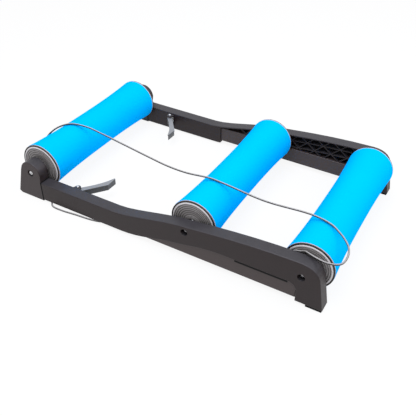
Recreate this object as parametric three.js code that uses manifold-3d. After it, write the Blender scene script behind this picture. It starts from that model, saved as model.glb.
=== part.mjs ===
// Retractable bike rollers: three drums between two side rails, with a front carriage that slides out.
// X runs from the front drum to the rear feet, Y to the right, Z up, from the middle of the floor.
import * as THREE from 'three';
import Module from 'manifold-3d';
import { mergeVertices } from 'three/addons/utils/BufferGeometryUtils.js';

const wasm = await Module();
wasm.setup();

// Driving sizes in millimetres, with the front carriage pushed in
const axleSpan = 703; // front axle to rear axle
const axleSpacing = 434.5; // front axle to middle axle
const axleHeight = 74;
const frontReach = 50.5; // front axle to the tip of the front foot
const rearReach = 52.5; // rear axle to the back of the rear foot
const railThickness = 30;
const railClearance = 13; // from a drum's end to the inner face of the rail
const railWall = 3;

// Clearances and cutting
const seatGap = 0.3; // between pieces that seat on each other
const slideGap = 0.5; // beside a sliding arm
const bracketSeam = 1.8; // between a bracket and its rail
const overrun = 1; // how far a cutter or a joined rib passes a face
const weldDistance = 0.0005;
const curveSteps = 6;

// Drum and end cap
const drumLength = 400;
const drumEndRadius = 55.9;
const drumWaistRadius = 50;
const drumWall = 3;
const waistPower = 2.6;
const outerWaistShares = [-1, -0.8, -0.5, 0, 0.5, 0.8, 1];
const innerWaistShares = [1, 0.5, 0, -0.5, -1];
const capInsertDepth = 12;
const capInsertWall = 3;
const capInsertGap = 1.2;
const capWeb = 3;
const capRimRadius = 55.5;
const capRimWidth = 3.1;
const capFaceRadius = 50.5;
const capFaceReach = 5;
const capStepRadius = 34;
const capStepReach = 5.6;
const capHubRadius = 18;
const capHubFoot = 6.4;
const capHubReach = 9.3;
const bearingRadius = 13;
const bearingWidth = 7;
const bearingShoulder = 1.5; // from the drum's end to the shoulder behind the bearing
const bearingSeatClearance = 0.4;
const capThroatRadius = 9;
const drumSegments = 36;
const capSegments = 24;
const turnedSegments = 12;

// Axle, spacer and axle screw
const axleRadius = 5;
const axleBoreClearance = 0.5;
const axleSocketClearance = 0.4;
const axleSeatDepth = 16.5; // from a rail's outer face to the floor of the axle's socket
const axleThreadDepth = 16;
const spacerRadius = 7.5;
const bossRadius = 13;
const screwShankRadius = 2.8;
const screwHoleClearance = 0.45;
const screwHeadRadius = 5;
const screwHeadHeight = 4;
const screwReach = 27; // from a rail's outer face to the screw's tip
const hexRadius = 2.9;
const hexDepth = 2.5;
const recessRadius = 8.5;
const frontRecessDepth = 6;
const railRecessDepth = 12;

// Front bracket
const archRadius = 30;
const bracketBack = 27.3; // front axle to the bracket's rear face
const bracketBase = 1.5;
const bracketChamferWidth = 7;
const bracketChamferHeight = 5;
const bracketNeckDrop = 18.5; // below the axle

// Outer rail outline
const railFloor = 5;
const sleeveTop = 54.3;
const kneeLead = 15.7; // the knee of the top, ahead of the middle axle
const kneeRise = 13.5; // above the axles
const swellLength = 174; // from the start of the rise to the knee
const sleeveOverlap = 30; // how far the sleeve runs on below the rise
const crestBack = 61.7; // from the back of the foot to the crest
const crestRise = 36.5; // above the axles
const shoulderBack = 14; // from the back of the foot to the shoulder of the rear face
const shoulderRise = 9; // above the axles
const swellShares = [[0.23, 0], [0.63, 0.7]];
const kneeShares = [[0.26, 0.34], [0.57, 0.93]];
const shoulderShares = [[0.45, 0], [0.83, 0.24]];
const footLength = 60;
const footBase = 5.5;
const seamHeight = 51.2; // lower edge of the rail over the arm
const seamCornerRadius = 21;
const riseLead = 12.3; // where the lower edge starts to rise, ahead of the sleeve's end
const riseToMiddle = 123;
const riseMiddleHeight = 29;
const riseFromMiddle = 135;
const riseShares = [[0.37, 0.06], [0.59, 0.64]];
const fallShares = [[0.37, 0.47], [0.65, 1]];

// Ribs inside the rail
const ribDepth = 24; // from the rail's outer face to the ribs' inner edge
const ribThickness = 2;
const ribDrops = [19, 38]; // of the two long ribs below the rail's top
const latticeLead = 32; // behind the sleeve's end, to the first node of the upper rib
const latticePitch = 44.3;
const latticeSpare = 2; // nodes past the front of the foot
const latticeReachShare = 0.9; // how far a diagonal runs past its nodes
const ribFloor = 53;

// Sliding arm and what guides it
const armBottom = 12.2;
const armHeight = 39.7;
const armInset = 3.5; // from the rail's faces
const armWall = 3;
const armPlug = 45.5; // how deep the arm sits in the bracket
const armTailGap = 1; // ahead of the rear foot
const sleeveFloor = 8;
const padLength = 30;
const padStarts = [6, 90]; // along the rail
const bracketScrewX = 4; // behind the front axle
const bracketScrewZ = 29;
const bracketScrewRadius = 2.5;
const bracketScrewHole = 2.8;
const bracketScrewHeadRadius = 4.5;
const bracketScrewHeadHeight = 2;
const bracketScrewLength = 9;

// Clamp lever, its ears, screw and shoe
const pivotStart = 82.2; // along the rail
const pivotDepth = 38; // from the rail's outer face
const earRadius = 7.5;
const earFootWidth = 22;
const upperEarBottom = 46.5;
const upperEarTop = 50.5;
const lowerEarBottom = 18;
const lowerEarTop = 22;
const leverHubRadius = 7.3;
const leverBottom = 26;
const leverTop = 42.5;
const leverFlange = 4;
const leverFlangeStep = 1.2;
const leverReach = 83; // pivot to tip, square to the rail
const leverSweep = 46; // pivot to tip, along the rail
const leverTipWidth = 2.5;
const leverHeel = [49.5, 53]; // outer corner of the paddle, along and square to the rail
const leverInnerShares = [[0.17, 0.24], [0.74, 0.55]];
const leverOuterShares = [[0.77, 0.72], [0.38, 0.28]];
const leverRootAngle = 50;
const pivotScrewRadius = 2.3;
const pivotScrewHole = 2.6;
const pivotScrewHeadRadius = 4;
const pivotScrewHeadHeight = 2.4;
const shoeWidth = 13;
const shoeHeight = 16;

// Rubber feet
const frontPadStart = -38; // from the front axle
const frontPadLength = 58;
const padInset = 4;
const rearPadLength = 35;
const rearPadInset = 1.5;
const padSink = 3;

// Drive belt, an endless round cord: its centre line, point by point
const beltRadius = 2.1;
const beltSteps = 84;
const beltSides = 6;
const beltRoute = [
  [-360.5, -80, 127.4],
  [-315.5, -70.2, 128.2],
  [-256.5, -77, 128],
  [-174.8, -90.7, 127.7],
  [-97.5, -102.6, 126.1],
  [-39.2, -112.8, 127.2],
  [12, -115.5, 128.4],
  [68.5, -107.8, 129.2],
  [106.8, -110.3, 129.2],
  [210.5, -117, 125.4],
  [319, -114.1, 129],
  [363.3, -124.7, 129.3],
  [381.5, -135, 126.9],
  [399.2, -148.6, 124.6],
  [413, -163.3, 120.6],
  [419.6, -184, 116.6],
  [415.2, -208.9, 113.7],
  [393.5, -218.2, 112.6],
  [365.5, -216.5, 113.8],
  [350.7, -213.2, 114.9],
  [341, -209.4, 113.3],
  [334.5, -208.8, 109.5],
  [318.5, -208.8, 103.7],
  [303.5, -208.8, 83],
  [293.5, -208.5, 59],
  [277.5, -205.5, 34.5],
  [240, -197, 7],
  [150, -186.5, 2.9],
  [-61.5, -202, 2.4],
  [-162.9, -240.5, 2.4],
  [-221.9, -247.2, 2.4],
  [-262, -251.2, 2.4],
  [-290, -249, 2.4],
  [-304, -235, 2.4],
  [-315.5, -215, 2.4],
  [-350, -186, 4],
  [-380.5, -168, 20],
  [-403, -152, 47],
  [-407.5, -129, 86],
  [-389.5, -104, 115],
];

// Places that follow from the sizes
const halfWidth = drumLength / 2 + railClearance + railThickness;
const frontAxleX = -axleSpan / 2;
const middleAxleX = frontAxleX + axleSpacing;
const rearAxleX = axleSpan / 2;
const bracketRearX = frontAxleX + bracketBack;
const railFrontX = bracketRearX + bracketSeam;
const railRearX = rearAxleX + rearReach;
const footFrontX = railRearX - footLength;
const kneeX = middleAxleX - kneeLead;
const swellX = kneeX - swellLength;
const sleeveEndX = swellX + sleeveOverlap;
const armFrontX = bracketRearX - armPlug;
const armRearX = footFrontX - armTailGap;
const armTop = armBottom + armHeight;
const armInnerDepth = railThickness - armInset;
const aboveAll = axleHeight + crestRise + overrun; // higher than the rail's top
const pivotX = railFrontX + pivotStart;
const sides = [{ name: 'left', sign: -1 }, { name: 'right', sign: 1 }];
const axles = [
  { name: 'front', x: frontAxleX, recess: frontRecessDepth },
  { name: 'middle', x: middleAxleX, recess: railRecessDepth },
  { name: 'rear', x: rearAxleX, recess: railRecessDepth },
];

const finishes = {
  rail: new THREE.MeshStandardMaterial({ color: 0x454043, roughness: 0.55, metalness: 0 }),
  arm: new THREE.MeshStandardMaterial({ color: 0x524b49, roughness: 0.5, metalness: 0 }),
  drum: new THREE.MeshStandardMaterial({ color: 0x00b4f5, roughness: 0.3, metalness: 0 }),
  cap: new THREE.MeshStandardMaterial({ color: 0x77716f, roughness: 0.5, metalness: 0 }),
  steel: new THREE.MeshStandardMaterial({ color: 0xb8babd, roughness: 0.3, metalness: 1 }),
  lever: new THREE.MeshStandardMaterial({ color: 0x9a9c9e, roughness: 0.4, metalness: 0.1 }),
  belt: new THREE.MeshStandardMaterial({ color: 0x7b7672, roughness: 0.35, metalness: 0 }),
  rubber: new THREE.MeshStandardMaterial({ color: 0x262626, roughness: 0.8, metalness: 0 }),
  glide: new THREE.MeshStandardMaterial({ color: 0xd8d5cc, roughness: 0.5, metalness: 0 }),
};

const rollers = new THREE.Group();

function addMesh(name, geometry, finish) {
  const mesh = new THREE.Mesh(geometry, finish);
  mesh.name = name;
  rollers.add(mesh);
  return mesh;
}

// Solids for joining and cutting
function solidOf(geometry) {
  const bare = geometry.clone();
  bare.deleteAttribute('normal');
  bare.deleteAttribute('uv');
  const merged = mergeVertices(bare, weldDistance);
  const corners = merged.index.array;
  const kept = [];
  for (let i = 0; i < corners.length; i += 3) {
    const [a, b, c] = [corners[i], corners[i + 1], corners[i + 2]];
    if (a !== b && b !== c && c !== a) kept.push(a, b, c);
  }
  return new wasm.Manifold(new wasm.Mesh({
    numProp: 3,
    vertProperties: merged.attributes.position.array,
    triVerts: Uint32Array.from(kept),
  }));
}

function geometryOf(solid) {
  const { vertProperties, triVerts } = solid.getMesh();
  const geometry = new THREE.BufferGeometry();
  geometry.setAttribute('position', new THREE.BufferAttribute(vertProperties, 3));
  geometry.setIndex(new THREE.BufferAttribute(triVerts, 1));
  geometry.computeVertexNormals();
  return geometry;
}

// Y of a depth measured inwards from the outer face of the rail on one side
function across(sign, depth) {
  return sign * (halfWidth - depth);
}

// An outline drawn in X and Z, as thick as the stretch between two depths
function plate(points, sign, from, to) {
  const outline = new THREE.Shape(points);
  const geometry = new THREE.ExtrudeGeometry(outline, { depth: to - from, bevelEnabled: false });
  geometry.rotateX(Math.PI / 2);
  geometry.translate(0, Math.max(across(sign, from), across(sign, to)), 0);
  return solidOf(geometry);
}

// A block between two X, two depths and two heights
function block(sign, [x0, x1], [from, to], [z0, z1]) {
  const geometry = new THREE.BoxGeometry(x1 - x0, to - from, z1 - z0);
  geometry.translate((x0 + x1) / 2, across(sign, (from + to) / 2), (z0 + z1) / 2);
  return solidOf(geometry);
}

// A round bar along Y between two depths
function crossRod(sign, x, z, radius, from, to, segments = capSegments) {
  const geometry = new THREE.CylinderGeometry(radius, radius, to - from, segments);
  geometry.translate(x, across(sign, (from + to) / 2), z);
  return solidOf(geometry);
}

// An upright round bar
function uprightRod(x, y, radius, z0, z1) {
  const geometry = new THREE.CylinderGeometry(radius, radius, z1 - z0, turnedSegments);
  geometry.rotateX(Math.PI / 2);
  geometry.translate(x, y, (z0 + z1) / 2);
  return solidOf(geometry);
}

// A turned piece about Y from a closed profile of radius and reach
function turned(profile, segments) {
  const points = profile.map(([radius, reach]) => new THREE.Vector2(radius, reach));
  if (THREE.ShapeUtils.isClockWise(points)) points.reverse();
  points.push(points[0].clone());
  return new THREE.LatheGeometry(points, segments);
}

// A turned piece placed at an axle, its reach running outwards on one side
function addTurned(name, geometry, finish, sign, x, y, z) {
  const mesh = addMesh(name, geometry, finish);
  mesh.position.set(x, y, z);
  mesh.rotation.z = sign > 0 ? 0 : Math.PI;
}

// A curve on from one corner to the next, its handles as shares of the way between them
function bend(path, [x0, z0], [x1, z1], [near, far]) {
  path.bezierCurveTo(
    x0 + (x1 - x0) * near[0],
    z0 + (z1 - z0) * near[1],
    x0 + (x1 - x0) * far[0],
    z0 + (z1 - z0) * far[1],
    x1,
    z1,
  );
}

// Outer rail: outline of the top from the front to the back
function railTopPoints() {
  const path = new THREE.Path();
  const knee = [kneeX, axleHeight + kneeRise];
  const crest = [railRearX - crestBack, axleHeight + crestRise];
  const shoulder = [railRearX - shoulderBack, axleHeight + shoulderRise];
  path.moveTo(railFrontX, sleeveTop);
  path.lineTo(swellX, sleeveTop);
  bend(path, [swellX, sleeveTop], knee, swellShares);
  bend(path, knee, crest, kneeShares);
  bend(path, crest, shoulder, shoulderShares);
  return path.getPoints(curveSteps);
}

// Outer rail: outline of the underside from the back to the front
function railUndersidePoints() {
  const path = new THREE.Path();
  const cornerX = footFrontX - seamCornerRadius;
  const riseStart = [sleeveEndX - riseLead, railFloor];
  const riseMiddle = [riseStart[0] + riseToMiddle, riseMiddleHeight];
  const riseEnd = [riseMiddle[0] + riseFromMiddle, seamHeight];
  path.moveTo(railRearX, footBase);
  path.lineTo(footFrontX, footBase);
  path.lineTo(footFrontX, seamHeight - seamCornerRadius);
  path.absarc(cornerX, seamHeight - seamCornerRadius, seamCornerRadius, 0, Math.PI / 2);
  path.lineTo(...riseEnd);
  bend(path, riseEnd, riseMiddle, riseShares);
  bend(path, riseMiddle, riseStart, fallShares);
  path.lineTo(railFrontX, railFloor);
  return path.getPoints(curveSteps);
}

const railTop = railTopPoints();
const railOutline = [...railTop, ...railUndersidePoints()];

function railTopHeight(x) {
  const passed = railTop.filter((point) => point.x < x).length;
  const next = Math.min(passed, railTop.length - 1);
  const [a, b] = [railTop[next - 1], railTop[next]];
  return a.y + (b.y - a.y) * (x - a.x) / (b.x - a.x);
}

// The area below the rail's top, lowered by a drop, down to a floor
function belowTop(drop, floor) {
  const lowered = railTop.map((point) => new THREE.Vector2(point.x, point.y - drop));
  const first = new THREE.Vector2(railTop[0].x, floor);
  const last = new THREE.Vector2(railTop[railTop.length - 1].x, floor);
  return [first, ...lowered, last];
}

// A strip that follows the rail's top at a drop below it
function longRib(sign, drop) {
  const reach = railTop.filter((point) => point.x >= swellX);
  const upper = reach.map((point) => new THREE.Vector2(point.x, point.y - drop));
  const lower = reach.map((point) => new THREE.Vector2(point.x, point.y - drop - ribThickness));
  return plate([...upper, ...lower.reverse()], sign, railWall - overrun, ribDepth);
}

// A straight strip through two points, run on past both
function diagonalRib(sign, [x0, z0], [x1, z1]) {
  const along = new THREE.Vector2(x1 - x0, z1 - z0);
  const reach = along.clone().multiplyScalar(latticeReachShare);
  const half = new THREE.Vector2(-along.y, along.x).setLength(ribThickness / 2);
  const start = new THREE.Vector2(x0, z0).sub(reach);
  const end = new THREE.Vector2(x1, z1).add(reach);
  const corners = [start.clone().add(half), start.clone().sub(half), end.clone().sub(half), end.clone().add(half)];
  return plate(corners, sign, railWall - overrun, ribDepth);
}

// Lattice of ribs on the inner side of the rail, above the arm
function railRibs(sign) {
  const [upperDrop, lowerDrop] = ribDrops;
  let ribs = longRib(sign, upperDrop).add(longRib(sign, lowerDrop));
  const latticeX = sleeveEndX + latticeLead;
  const latticeCount = Math.floor((footFrontX - latticeX) / latticePitch) + latticeSpare;
  const node = (k, drop) => {
    const x = latticeX + latticePitch * k;
    return [x, railTopHeight(x) - drop];
  };
  for (let k = 0; k < latticeCount; k += 1) {
    const upper = node(k, upperDrop);
    const lower = node(k + 1 / 2, lowerDrop);
    ribs = ribs.add(diagonalRib(sign, upper, lower));
    ribs = ribs.add(diagonalRib(sign, lower, node(Math.min(k + 1, latticeCount - 1 / 2), upperDrop)));
  }
  const room = plate(belowTop(railWall - overrun, 0), sign, 0, railThickness);
  const span = block(sign, [sleeveEndX, footFrontX], [0, railThickness], [ribFloor, aboveAll]);
  return ribs.intersect(room).intersect(span);
}

// Bore, screw hole and screw recess for an axle end
function axleCut(sign, x, recess) {
  const socket = axleRadius + axleSocketClearance;
  const hole = screwShankRadius + screwHoleClearance;
  return crossRod(sign, x, axleHeight, socket, axleSeatDepth, railThickness + overrun)
    .add(crossRod(sign, x, axleHeight, hole, -overrun, railThickness, turnedSegments))
    .add(crossRod(sign, x, axleHeight, recessRadius, -overrun, recess));
}

// One ear that carries the lever's pivot screw
function pivotEar(sign, z0, z1) {
  const ear = new THREE.Shape();
  const rootY = across(sign, railThickness - railWall / 2);
  const pivotY = across(sign, pivotDepth);
  const inward = -sign;
  ear.moveTo(pivotX - earFootWidth / 2, rootY);
  ear.lineTo(pivotX + earFootWidth / 2, rootY);
  ear.lineTo(pivotX + earRadius, pivotY);
  ear.absarc(pivotX, pivotY, earRadius, 0, inward * Math.PI, sign > 0);
  const geometry = new THREE.ExtrudeGeometry(ear, { depth: z1 - z0, bevelEnabled: false, curveSegments: curveSteps });
  geometry.translate(0, 0, z0);
  return solidOf(geometry);
}

function outerRail(sign) {
  const deep = [railWall, railThickness + overrun];
  const sleeveCavity = [railWall, railThickness - railWall];
  const open = plate(belowTop(railWall, -overrun), sign, ...deep);
  const bay = open.intersect(block(sign, [sleeveEndX, footFrontX], deep, [-overrun, aboveAll]));
  const channelTop = armTop + slideGap;
  const channel = block(sign, [railFrontX - overrun, sleeveEndX + overrun], sleeveCavity, [sleeveFloor, channelTop]);
  const windowX = [pivotX - shoeWidth / 2 - slideGap, pivotX + shoeWidth / 2 + slideGap];
  const shoeMiddle = (leverBottom + leverTop) / 2;
  const windowZ = [shoeMiddle - shoeHeight / 2 - slideGap, shoeMiddle + shoeHeight / 2 + slideGap];
  const window = block(sign, windowX, [railThickness / 2, railThickness + overrun], windowZ);
  const padRoom = block(
    sign,
    [railRearX - rearPadLength - rearPadInset - seatGap, railRearX - rearPadInset + seatGap],
    [rearPadInset - seatGap, railThickness - rearPadInset + seatGap],
    [-overrun, footBase + padSink + seatGap],
  );
  const boss = crossRod(sign, middleAxleX, axleHeight, bossRadius, overrun, railThickness);
  const rearBoss = crossRod(sign, rearAxleX, axleHeight, bossRadius, overrun, railThickness);
  return plate(railOutline, sign, 0, railThickness)
    .subtract(bay)
    .subtract(channel)
    .subtract(window)
    .subtract(padRoom)
    .add(railRibs(sign))
    .add(boss)
    .add(rearBoss)
    .subtract(axleCut(sign, middleAxleX, railRecessDepth))
    .subtract(axleCut(sign, rearAxleX, railRecessDepth))
    .add(pivotEar(sign, upperEarBottom, upperEarTop))
    .add(pivotEar(sign, lowerEarBottom, lowerEarTop))
    .subtract(uprightRod(pivotX, across(sign, pivotDepth), pivotScrewHole, 0, sleeveTop));
}

// Front bracket: a straight front edge that meets an arch round the axle
function bracketOutline() {
  const toe = new THREE.Vector2(frontAxleX - frontReach, bracketBase + bracketChamferHeight);
  const centre = new THREE.Vector2(frontAxleX, axleHeight);
  const offset = centre.clone().sub(toe);
  const tangentAngle = offset.angle() + Math.asin(archRadius / offset.length());
  const path = new THREE.Path();
  path.moveTo(toe.x + bracketChamferWidth, bracketBase);
  path.lineTo(toe.x, toe.y);
  path.absarc(centre.x, centre.y, archRadius, tangentAngle + Math.PI / 2, 0, true);
  path.lineTo(bracketRearX, axleHeight - bracketNeckDrop);
  path.lineTo(bracketRearX, bracketBase);
  return path.getPoints(curveSteps);
}

function frontBracket(sign) {
  const plug = [armInset - seatGap, armInnerDepth + seatGap];
  const pocket = block(
    sign,
    [armFrontX - seatGap, bracketRearX + overrun],
    plug,
    [armBottom - seatGap, armTop + seatGap],
  );
  const padX = frontAxleX + frontPadStart;
  const padRoom = block(
    sign,
    [padX - seatGap, padX + frontPadLength + seatGap],
    [padInset - seatGap, railThickness - padInset + seatGap],
    [-overrun, bracketBase + padSink + seatGap],
  );
  const screwX = frontAxleX + bracketScrewX;
  const screwHole = crossRod(
    sign,
    screwX,
    bracketScrewZ,
    bracketScrewHole,
    railThickness / 2,
    railThickness + overrun,
    turnedSegments,
  );
  return plate(bracketOutline(), sign, 0, railThickness)
    .subtract(pocket)
    .subtract(padRoom)
    .subtract(screwHole)
    .subtract(axleCut(sign, frontAxleX, frontRecessDepth));
}

// Sliding arm: a hollow beam from inside the bracket to the rear foot
function slidingArm(sign) {
  const outer = block(sign, [armFrontX, armRearX], [armInset, armInnerDepth], [armBottom, armTop]);
  const inner = block(
    sign,
    [armFrontX - overrun, armRearX + overrun],
    [armInset + armWall, armInnerDepth - armWall],
    [armBottom + armWall, armTop - armWall],
  );
  const screwHole = crossRod(
    sign,
    frontAxleX + bracketScrewX,
    bracketScrewZ,
    bracketScrewHole,
    railThickness / 2,
    railThickness,
    turnedSegments,
  );
  return outer.subtract(inner).subtract(screwHole);
}

// Waisted drum
function drumGeometry() {
  const radius = (share) => drumWaistRadius + (drumEndRadius - drumWaistRadius) * Math.abs(share) ** waistPower;
  const outer = outerWaistShares.map((share) => [radius(share), share * drumLength / 2]);
  const inner = innerWaistShares.map((share) => [radius(share) - drumWall, share * drumLength / 2]);
  return turned([...outer, ...inner], drumSegments);
}

// End cap: an insert inside the drum, a rim, a stepped face and a hub with the bearing's seat
function capGeometry() {
  const insertRadius = drumEndRadius - drumWall - capInsertGap;
  const seatRadius = bearingRadius + bearingSeatClearance;
  return turned([
    [capThroatRadius, -capWeb],
    [insertRadius - capInsertWall, -capWeb],
    [insertRadius - capInsertWall, -capInsertDepth],
    [insertRadius, -capInsertDepth],
    [insertRadius, seatGap],
    [capRimRadius, seatGap],
    [capRimRadius, seatGap + capRimWidth],
    [capFaceRadius, capFaceReach],
    [capStepRadius, capStepReach],
    [capHubRadius, capHubFoot],
    [capHubRadius, capHubReach],
    [seatRadius, capHubReach],
    [seatRadius, bearingShoulder],
    [capThroatRadius, bearingShoulder],
  ], capSegments);
}

function ringGeometry(innerRadius, outerRadius, from, to) {
  const profile = [[innerRadius, from], [outerRadius, from], [outerRadius, to], [innerRadius, to]];
  return turned(profile, turnedSegments);
}

// Axle with a threaded bore in each end
function axleGeometry() {
  const half = halfWidth - axleSeatDepth - seatGap;
  const bore = screwShankRadius + screwHoleClearance;
  const rod = new THREE.CylinderGeometry(axleRadius, axleRadius, half * 2, turnedSegments);
  let solid = solidOf(rod);
  for (const { sign } of sides) {
    const cut = new THREE.CylinderGeometry(bore, bore, axleThreadDepth + overrun, turnedSegments);
    cut.translate(0, sign * (half - axleThreadDepth / 2 + overrun / 2), 0);
    solid = solid.subtract(solidOf(cut));
  }
  return geometryOf(solid);
}

// Socket screw along Y, drawn from the depth of its head to its tip
function socketScrew(sign, x, z, headDepth) {
  const shankStart = headDepth + screwHeadHeight;
  return crossRod(sign, x, z, screwHeadRadius, headDepth, shankStart, turnedSegments)
    .add(crossRod(sign, x, z, screwShankRadius, shankStart - overrun, screwReach, turnedSegments))
    .subtract(crossRod(sign, x, z, hexRadius, headDepth - overrun, headDepth + hexDepth, 6));
}

function bracketScrew(sign) {
  const x = frontAxleX + bracketScrewX;
  const seat = railThickness + seatGap;
  return crossRod(sign, x, bracketScrewZ, bracketScrewHeadRadius, seat, seat + bracketScrewHeadHeight, turnedSegments)
    .add(crossRod(sign, x, bracketScrewZ, bracketScrewRadius, seat - bracketScrewLength, seat + overrun, turnedSegments));
}

// Lever seen from above, about its pivot: a bent arm from a round hub to a thin paddle
function leverOutline(sign, step) {
  const inward = -sign;
  const tip = [leverSweep + step, leverReach];
  const heel = [leverHeel[0] - step, leverHeel[1]];
  const hub = leverHubRadius - step;
  const rootAngle = leverRootAngle * Math.PI / 180;
  const inner = [-hub * Math.sin(rootAngle), hub * Math.cos(rootAngle)];
  const outer = [hub * Math.sin(rootAngle), -hub * Math.cos(rootAngle)];
  const path = new THREE.Shape();
  path.moveTo(inner[0], inward * inner[1]);
  path.bezierCurveTo(
    tip[0] * leverInnerShares[0][0],
    inward * tip[1] * leverInnerShares[0][1],
    tip[0] * leverInnerShares[1][0],
    inward * tip[1] * leverInnerShares[1][1],
    tip[0],
    inward * tip[1],
  );
  path.lineTo(tip[0] + leverTipWidth - step, inward * tip[1]);
  path.lineTo(heel[0], inward * heel[1]);
  path.bezierCurveTo(
    heel[0] * leverOuterShares[0][0],
    inward * heel[1] * leverOuterShares[0][1],
    heel[0] * leverOuterShares[1][0],
    inward * heel[1] * leverOuterShares[1][1],
    outer[0],
    inward * outer[1],
  );
  return path;
}

function leverLayer(sign, step, z0, z1) {
  const options = { depth: z1 - z0, bevelEnabled: false, curveSegments: curveSteps };
  const geometry = new THREE.ExtrudeGeometry(leverOutline(sign, step), options);
  geometry.translate(0, 0, z0);
  return solidOf(geometry);
}

function clampLever(sign) {
  const hubBottom = lowerEarTop + seatGap;
  const hubTop = upperEarBottom - seatGap;
  return leverLayer(sign, 0, leverTop - leverFlange, leverTop)
    .add(leverLayer(sign, leverFlangeStep, leverBottom, leverTop - leverFlange / 2))
    .add(uprightRod(0, 0, leverHubRadius, hubBottom, hubTop))
    .subtract(uprightRod(0, 0, pivotScrewHole, 0, sleeveTop));
}

function pivotScrew(sign) {
  const y = across(sign, pivotDepth);
  const seat = upperEarTop + seatGap;
  return uprightRod(pivotX, y, pivotScrewHeadRadius, seat, seat + pivotScrewHeadHeight)
    .add(uprightRod(pivotX, y, pivotScrewRadius, lowerEarBottom, seat + overrun));
}

function clampShoe(sign) {
  const middle = (leverBottom + leverTop) / 2;
  return block(
    sign,
    [pivotX - shoeWidth / 2, pivotX + shoeWidth / 2],
    [armInnerDepth + seatGap, pivotDepth - leverHubRadius - seatGap],
    [middle - shoeHeight / 2, middle + shoeHeight / 2],
  );
}

function guidePad(sign, start) {
  const x = railFrontX + start;
  const depths = [armInset, armInnerDepth];
  return block(sign, [x, x + padLength], depths, [sleeveFloor + seatGap, armBottom - seatGap]);
}

function footPad(sign, x0, x1, inset, base) {
  return block(sign, [x0, x1], [inset, railThickness - inset], [0, base + padSink]);
}

// Drive belt: an endless tube along its route
function beltGeometry() {
  const points = beltRoute.map(([x, y, z]) => new THREE.Vector3(x, y, z));
  const route = new THREE.CatmullRomCurve3(points, true);
  return new THREE.TubeGeometry(route, beltSteps, beltRadius, beltSides, true);
}

// One roller: drum, caps and bearings, on its axle with spacers and screws
function addRoller({ name, x, recess }) {
  const drum = addMesh(`${name}_drum`, drumGeometry(), finishes.drum);
  drum.position.set(x, 0, axleHeight);
  const axle = addMesh(`${name}_axle`, axleGeometry(), finishes.steel);
  axle.position.set(x, 0, axleHeight);
  const bore = axleRadius + axleBoreClearance;
  const bearingFrom = bearingShoulder + seatGap;
  const bearingTo = bearingFrom + bearingWidth;
  const spacerTo = railClearance - seatGap;
  for (const { name: side, sign } of sides) {
    const y = sign * drumLength / 2;
    const bearing = ringGeometry(bore, bearingRadius, bearingFrom, bearingTo);
    const spacer = ringGeometry(bore, spacerRadius, bearingTo + seatGap, spacerTo);
    addTurned(`${name}_cap_${side}`, capGeometry(), finishes.cap, sign, x, y, axleHeight);
    addTurned(`${name}_bearing_${side}`, bearing, finishes.steel, sign, x, y, axleHeight);
    addTurned(`${name}_spacer_${side}`, spacer, finishes.steel, sign, x, y, axleHeight);
    const headDepth = recess - seatGap - screwHeadHeight;
    const screw = socketScrew(sign, x, axleHeight, headDepth);
    addMesh(`${name}_axle_screw_${side}`, geometryOf(screw), finishes.steel);
  }
}

// One side of the frame
function addSide({ name, sign }) {
  addMesh(`outer_rail_${name}`, geometryOf(outerRail(sign)), finishes.rail);
  addMesh(`front_bracket_${name}`, geometryOf(frontBracket(sign)), finishes.rail);
  addMesh(`sliding_arm_${name}`, geometryOf(slidingArm(sign)), finishes.arm);
  addMesh(`bracket_screw_${name}`, geometryOf(bracketScrew(sign)), finishes.steel);
  addMesh(`lever_screw_${name}`, geometryOf(pivotScrew(sign)), finishes.steel);
  addMesh(`clamp_shoe_${name}`, geometryOf(clampShoe(sign)), finishes.glide);
  padStarts.forEach((start, index) => {
    addMesh(`guide_pad_${name}_${index + 1}`, geometryOf(guidePad(sign, start)), finishes.glide);
  });
  const frontX = frontAxleX + frontPadStart;
  const rearX = railRearX - rearPadInset;
  const frontPad = footPad(sign, frontX, frontX + frontPadLength, padInset, bracketBase);
  const rearPad = footPad(sign, rearX - rearPadLength, rearX, rearPadInset, footBase);
  addMesh(`front_foot_pad_${name}`, geometryOf(frontPad), finishes.rubber);
  addMesh(`rear_foot_pad_${name}`, geometryOf(rearPad), finishes.rubber);
  const lever = addMesh(`clamp_lever_${name}`, geometryOf(clampLever(sign)), finishes.lever);
  lever.position.set(pivotX, across(sign, pivotDepth), 0);
}

sides.forEach(addSide);
axles.forEach(addRoller);
addMesh('drive_belt', beltGeometry(), finishes.belt);

export default rollers;
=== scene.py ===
import bmesh
import bpy
import math
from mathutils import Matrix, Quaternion, Vector


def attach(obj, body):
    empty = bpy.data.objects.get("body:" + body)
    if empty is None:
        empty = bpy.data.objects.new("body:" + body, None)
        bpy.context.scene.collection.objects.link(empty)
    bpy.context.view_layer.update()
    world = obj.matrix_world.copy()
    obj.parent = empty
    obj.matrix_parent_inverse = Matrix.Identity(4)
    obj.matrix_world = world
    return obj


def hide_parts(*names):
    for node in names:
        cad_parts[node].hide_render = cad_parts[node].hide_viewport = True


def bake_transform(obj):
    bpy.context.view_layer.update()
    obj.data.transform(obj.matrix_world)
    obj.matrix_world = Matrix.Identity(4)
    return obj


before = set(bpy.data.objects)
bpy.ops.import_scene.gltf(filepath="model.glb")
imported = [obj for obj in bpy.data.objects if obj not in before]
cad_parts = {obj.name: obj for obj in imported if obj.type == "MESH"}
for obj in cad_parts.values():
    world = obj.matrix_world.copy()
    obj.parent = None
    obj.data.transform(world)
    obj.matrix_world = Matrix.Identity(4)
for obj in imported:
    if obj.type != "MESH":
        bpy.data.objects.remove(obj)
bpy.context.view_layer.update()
scene = bpy.context.scene
sides = {"left": -1, "right": 1}  # the way that each side lies along Y
angles = {  # in degrees
    "rounded": 32,  # least turn of an edge that is rounded
    "plainSharp": 60,  # least turn of a sharp edge on the small moulded parts
    "turnedSharp": 40,  # and on turned parts
    "screwSharp": 35,  # and on screws
    "flat": 0.6,  # faces that turn less count as one
}
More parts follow.
